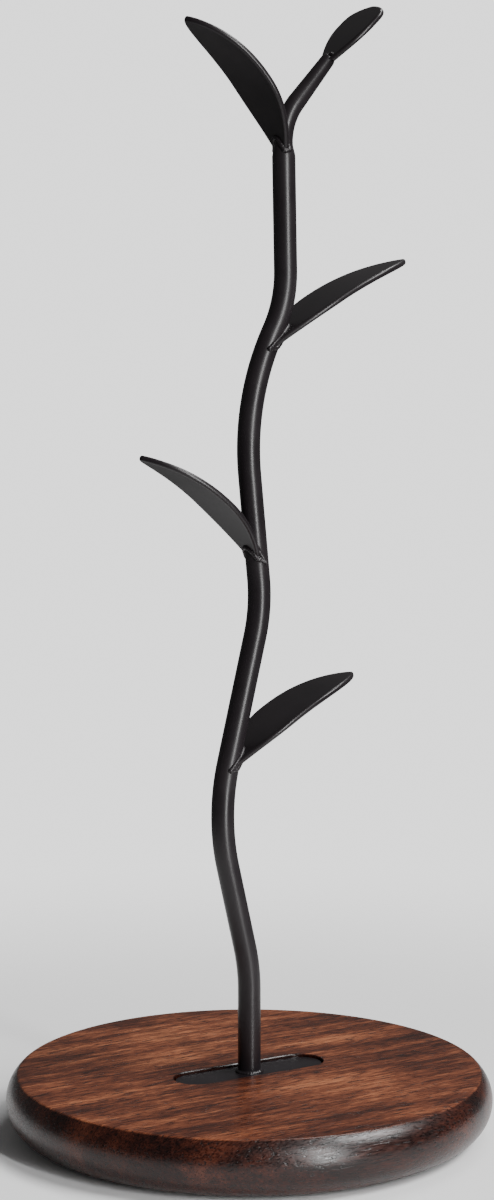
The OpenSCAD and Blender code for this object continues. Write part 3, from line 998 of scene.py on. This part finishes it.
# %% [markdown]
# ## The pads
# One pad is turned with a soft edge and a shallow ring moulded into its face. A Geometry Nodes
# tree sets copies of it at the corners of a regular polygon, with the count, the radius of the
# ring and its turn as inputs.


# %% Pads
def make_ring_tree():
    tree = new_tree("set_round_a_ring")
    keys = {
        "Count": socket(tree, "Count", "NodeSocketInt", 4),
        "Ring Radius": socket(tree, "Ring Radius", "NodeSocketFloat", 60 * MM),
        "Turn": socket(tree, "Turn", "NodeSocketFloat", 0.0),
        "Material": socket(tree, "Material", "NodeSocketMaterial"),
    }
    entry = add(tree, "NodeGroupInput")
    corners = add(
        tree, "GeometryNodeMeshCircle",
        {"Vertices": entry.outputs["Count"], "Radius": entry.outputs["Ring Radius"]},
    )
    angle = add(tree, "ShaderNodeCombineXYZ", {"Z": entry.outputs["Turn"]})
    turned_ring = add(
        tree, "GeometryNodeTransform",
        {"Geometry": corners.outputs["Mesh"], "Rotation": angle.outputs["Vector"]},
    )
    set_out = add(
        tree, "GeometryNodeInstanceOnPoints",
        {"Points": turned_ring.outputs["Geometry"], "Instance": entry.outputs["Geometry"]},
    )
    close_tree(tree, entry, set_out.outputs["Instances"])
    return tree, keys


def pad_profile():
    """Out from the middle of the pad's face, over a ring groove, and up its side."""
    low, high = pad_low.z, pad_high.z
    deep = low + 0.3 * MM
    groove = [(4.2 * MM, low), (4.5 * MM, deep), (5.1 * MM, deep), (5.4 * MM, low)]
    outer = corner((5.4 * MM, low), (PAD_R, low), (PAD_R, high), 0.45 * MM)
    inner = corner((PAD_R, low), (PAD_R, high), (0, high), 0.2 * MM)
    return [(0, low), *groove, *outer, *inner, (0, high)]


ring_tree, ring_keys = make_ring_tree()
pad = turned("pad", pad_profile(), (0, 0))
pad.data.set_sharp_from_angle(angle=math.radians(50))
pad_ring_r = math.hypot(PAD_AT.x, PAD_AT.y)
with_tree(
    pad, ring_tree, ring_keys,
    Count=4, Ring_Radius=pad_ring_r, Turn=math.radians(45), Material=rubber,
)
pads = baked(pad, "rubber_pads")
finish_piece(pads, "rubber", "pad_back_right", "pad_back_left", "pad_front_left", "pad_front_right")

# %% [markdown]
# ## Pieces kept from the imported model
# The bosses, screws and washers already have their true shape, and sit where only a turned-over
# base shows them, so they stay and only take a finish.

# %% Finishes for the kept pieces
for node, finish in (("threaded_bosses", powder_coat), ("screws", zinc), ("washers", zinc)):
    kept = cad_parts[node]
    kept.data.materials.clear()
    kept.data.materials.append(finish)
    print(node, "keeps its shape and takes", finish.name)

# %% [markdown]
# ## Floor and light
# A pale floor and a soft, pale surround set off a dark object. But satin black metal shows
# almost nothing but reflections, so what surrounds it has to be dim for the black to stay
# deep. That is done in two places. The floor fades away a short way out from the base, through
# its shader's alpha, so the leaves don't mirror a wide pale plane. And the surround is pale for
# the camera only: Light Path tells the world's shader which rays come from it.
#
# A wide sun on the right lights floor and wood evenly, a tall soft box draws the long highlight
# down the rod, and a weaker one high at the back picks out rims and edges.

# %% Floor
FADE_FROM, FADE_TO = 160 * MM, 460 * MM
floor_material, floor_tree, floor_shader = new_material("pale_floor")
floor_place = add(floor_tree, "ShaderNodeTexCoord").outputs["Object"]
floor_noise = noise(floor_tree, floor_place, 3.0, 2.0)
floor_stops = [(0.3, (0.86, 0.86, 0.86)), (0.7, (0.90, 0.90, 0.90))]
floor_tone = ramp(floor_tree, floor_noise, floor_stops)
floor_tree.links.new(floor_tone, floor_shader.inputs["Base Color"])
floor_shader.inputs["Roughness"].default_value = 0.75
far_out = add(floor_tree, "ShaderNodeVectorMath", {0: floor_place}, operation="LENGTH")
cover = add(
    floor_tree, "ShaderNodeMapRange",
    {
        "Value": far_out.outputs["Value"],
        "From Min": FADE_FROM, "From Max": FADE_TO, "To Min": 1.0, "To Max": 0.0,
    },
    interpolation_type="SMOOTHSTEP",
).outputs["Result"]
floor_tree.links.new(cover, floor_shader.inputs["Alpha"])
floor_corners = [(-1, -1, 0), (1, -1, 0), (1, 1, 0), (-1, 1, 0)]
floor = link_mesh("floor", floor_corners, [(0, 1, 2, 3)], floor_material)
print("floor at z = 0")


# %% Lights
def aimed(name, kind, location, target):
    """A light that faces a target."""
    data = bpy.data.lights.new(name, kind)
    light = bpy.data.objects.new(name, data)
    light.location = location
    light.rotation_mode = "QUATERNION"
    light.rotation_quaternion = (Vector(target) - Vector(location)).to_track_quat("-Z", "Y")
    bpy.context.scene.collection.objects.link(light)
    return data


def soft_box(name, location, target, width, height, power):
    """A rectangular area light that faces a target."""
    data = aimed(name, "AREA", location, target)
    data.shape = "RECTANGLE"
    data.size, data.size_y = width, height
    data.energy = power


def beside_camera(turn, distance, height):
    """A place so many degrees to the right of the camera, round the object."""
    angle = CAMERA_TURN + math.radians(turn)
    return (distance * math.sin(angle), -distance * math.cos(angle), height)


MIDDLE = (0, 0, 0.18)
sun = aimed("wide_sun", "SUN", beside_camera(78, 1.0, 1.25), (0, 0, 0))
sun.energy = 3.3
sun.angle = math.radians(24)
soft_box("tall_strip", beside_camera(34, 1.1, 0.34), MIDDLE, 0.06, 1.1, 18)
soft_box("high_back", beside_camera(145, 0.78, 1.35), MIDDLE, 0.7, 0.2, 7)

world = bpy.data.worlds.new("studio")
world.use_nodes = True
world_tree = world.node_tree
world_tree.nodes.clear()
ray = add(world_tree, "ShaderNodeLightPath").outputs["Is Camera Ray"]
WHITE = (1.0, 1.0, 1.0, 1.0)
dim = add(world_tree, "ShaderNodeBackground", {"Color": WHITE, "Strength": 0.11})
pale = add(world_tree, "ShaderNodeBackground", {"Color": WHITE, "Strength": 1.75})
seen = add(world_tree, "ShaderNodeMixShader", {0: ray, 1: dim.outputs[0], 2: pale.outputs[0]})
add(world_tree, "ShaderNodeOutputWorld", {"Surface": seen.outputs[0]})
bpy.context.scene.world = world
print("a wide sun, two soft boxes and a dim surround")
